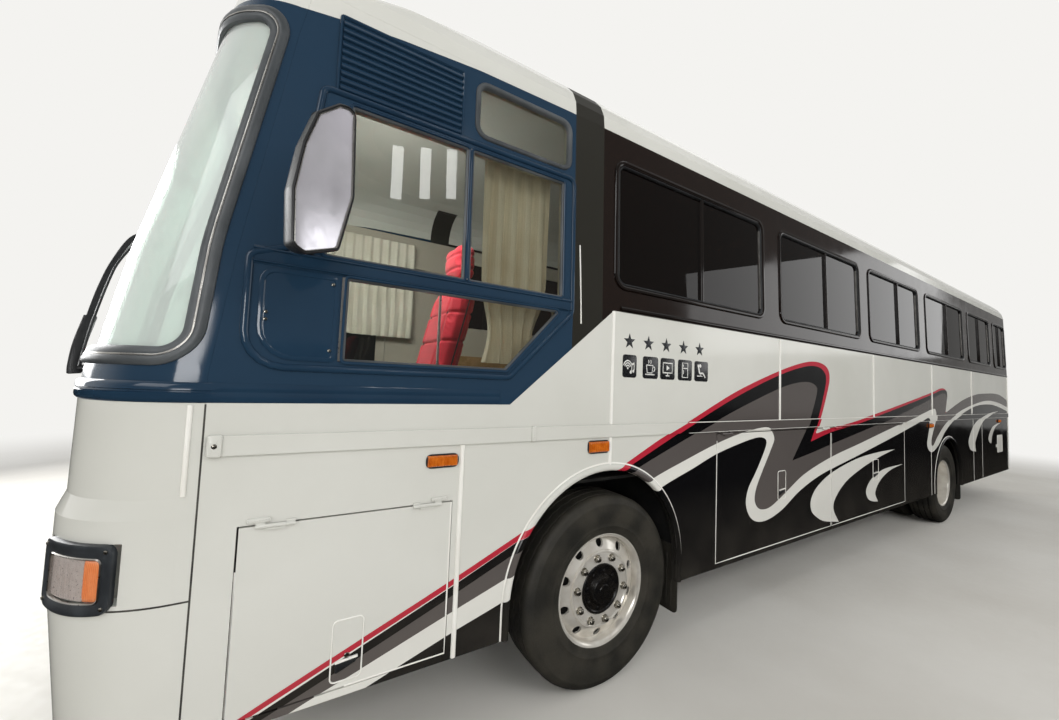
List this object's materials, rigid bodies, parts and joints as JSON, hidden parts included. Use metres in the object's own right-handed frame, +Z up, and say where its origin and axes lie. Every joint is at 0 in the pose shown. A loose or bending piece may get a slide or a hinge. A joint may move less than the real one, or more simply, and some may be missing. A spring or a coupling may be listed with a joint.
{
  "type": "coach motorhome",
  "caption": "Long two-axle coach converted to a motorhome, with steered front wheels, twin rear wheels, entry door, side hatches, engine lid and roof hatch.",
  "frame": {"origin": "on the ground, at the middle of the length and of the width", "axes": "+X forward, +Y to the vehicle's left, +Z up"},
  "size_m": [11.8097, 3.25, 3.426],
  "materials": {
    "body_white": "gloss",
    "body_dark": "gloss",
    "steel_black": "satin",
    "cast": "rough",
    "polished": "polished",
    "tyre": "matt",
    "plastic_black": "matt",
    "glass_tint": "gloss",
    "glass_clear": "gloss",
    "lamp": "gloss",
    "lamp_red": "gloss",
    "lamp_amber": "gloss",
    "rail_grey": "satin",
    "fabric_red": "matt",
    "fabric_cream": "matt",
    "wood": "satin",
    "floor": "matt"
  },
  "bodies": {
    "coach": {"skirt_left": "body_white", "skirt_right": "body_white", "sidewall_left": "body_white", "sidewall_right": "body_white", "side_glass_left": "glass_tint", "side_glass_right": "glass_tint", "roof_shell": "body_white", "front_cap": "body_white", "front_mask": "body_dark", "windscreen": "glass_clear", "screen_pillar": "body_dark", "front_panel": "body_white", "headlamps": "lamp", "front_bumper": "body_white", "rear_panel": "body_white", "tail_lamps": "lamp_red", "rear_wall": "body_white", "rear_bumper": "body_white", "rub_rails": "rail_grey", "marker_lamps": "lamp_amber", "floor_deck": "floor", "luggage_bay": "steel_black", "chassis_frame": "steel_black", "engine_block": "cast", "front_axle": "steel_black", "rear_axle": "steel_black", "arch_liners": "plastic_black", "dashboard": "plastic_black", "seats": "fabric_red", "curtains": "fabric_cream", "cabin_units": "wood", "mirrors": "plastic_black"},
    "knuckle_left": {"knuckle_left": "cast"},
    "knuckle_right": {"knuckle_right": "cast"},
    "wheel_front_left": {"tyre_front_left": "tyre", "rim_front_left": "polished"},
    "wheel_front_right": {"tyre_front_right": "tyre", "rim_front_right": "polished"},
    "wheels_rear_left": {"tyres_rear_left": "tyre", "rims_rear_left": "polished"},
    "wheels_rear_right": {"tyres_rear_right": "tyre", "rims_rear_right": "polished"},
    "steering_wheel": {"steering_wheel": "plastic_black"},
    "door": {"entry_door": "body_white", "entry_door_glass": "glass_tint"},
    "hatch_left_front": {"hatch_left_front": "body_white"},
    "hatch_left_middle": {"hatch_left_middle": "body_white"},
    "hatch_left_rear": {"hatch_left_rear": "body_white"},
    "hatch_right_middle": {"hatch_right_middle": "body_white"},
    "hatch_right_rear": {"hatch_right_rear": "body_white"},
    "engine_lid": {"engine_lid": "body_white"},
    "roof_hatch": {"roof_hatch": "body_white"}
  },
  "joints": [
    {"name": "steer_left", "type": "hinge", "parent": "coach", "child": "knuckle_left", "pos_m": [3.655, 0.98, 0.506], "axis": [0, 0, 1], "range_deg": [-38, 38]},
    {"name": "steer_right", "type": "hinge", "parent": "coach", "child": "knuckle_right", "pos_m": [3.655, -0.98, 0.506], "axis": [0, 0, 1], "range_deg": [-38, 38]},
    {"name": "spin_front_left", "type": "hinge", "parent": "knuckle_left", "child": "wheel_front_left", "pos_m": [3.655, 1.107, 0.506], "axis": [0, 1, 0], "continuous": true},
    {"name": "spin_rear_left", "type": "hinge", "parent": "coach", "child": "wheels_rear_left", "pos_m": [-2.295, 0.932, 0.506], "axis": [0, 1, 0], "continuous": true},
    {"name": "spin_front_right", "type": "hinge", "parent": "knuckle_right", "child": "wheel_front_right", "pos_m": [3.655, -1.107, 0.506], "axis": [0, 1, 0], "continuous": true},
    {"name": "spin_rear_right", "type": "hinge", "parent": "coach", "child": "wheels_rear_right", "pos_m": [-2.295, -0.932, 0.506], "axis": [0, 1, 0], "continuous": true},
    {"name": "steering_wheel_turn", "type": "hinge", "parent": "coach", "child": "steering_wheel", "pos_m": [5.12375, 0.66, 1.76663], "axis": [-0.6428, 0, 0.766], "range_deg": [-700, 700]},
    {"name": "door_swing", "type": "hinge", "parent": "coach", "child": "door", "pos_m": [5.199, -1.272, 1.33], "axis": [0, 0, 1], "range_deg": [0, 85]},
    {"name": "hatch_left_front_lift", "type": "hinge", "parent": "coach", "child": "hatch_left_front", "pos_m": [4.9385, 1.272, 1.095], "axis": [1, 0, 0], "range_deg": [0, 80]},
    {"name": "hatch_left_middle_lift", "type": "hinge", "parent": "coach", "child": "hatch_left_middle", "pos_m": [1.8945, 1.272, 1.318], "axis": [1, 0, 0], "range_deg": [0, 80]},
    {"name": "hatch_left_rear_lift", "type": "hinge", "parent": "coach", "child": "hatch_left_rear", "pos_m": [0.1815, 1.272, 1.318], "axis": [1, 0, 0], "range_deg": [0, 80]},
    {"name": "hatch_right_middle_lift", "type": "hinge", "parent": "coach", "child": "hatch_right_middle", "pos_m": [1.8945, -1.272, 1.318], "axis": [-1, 0, 0], "range_deg": [0, 80]},
    {"name": "hatch_right_rear_lift", "type": "hinge", "parent": "coach", "child": "hatch_right_rear", "pos_m": [0.1815, -1.272, 1.318], "axis": [-1, 0, 0], "range_deg": [0, 80]},
    {"name": "engine_lid_lift", "type": "hinge", "parent": "coach", "child": "engine_lid", "pos_m": [-5.888, 0, 1.294], "axis": [0, 1, 0], "range_deg": [0, 80]},
    {"name": "roof_hatch_lift", "type": "hinge", "parent": "coach", "child": "roof_hatch", "pos_m": [1.248, 0, 3.413], "axis": [0, 1, 0], "range_deg": [0, 70]}
  ],
  "couplings": [
    {"joint": "steer_right", "follows": "steer_left", "ratio": 1},
    {"joint": "steering_wheel_turn", "follows": "steer_left", "ratio": 16}
  ]
}
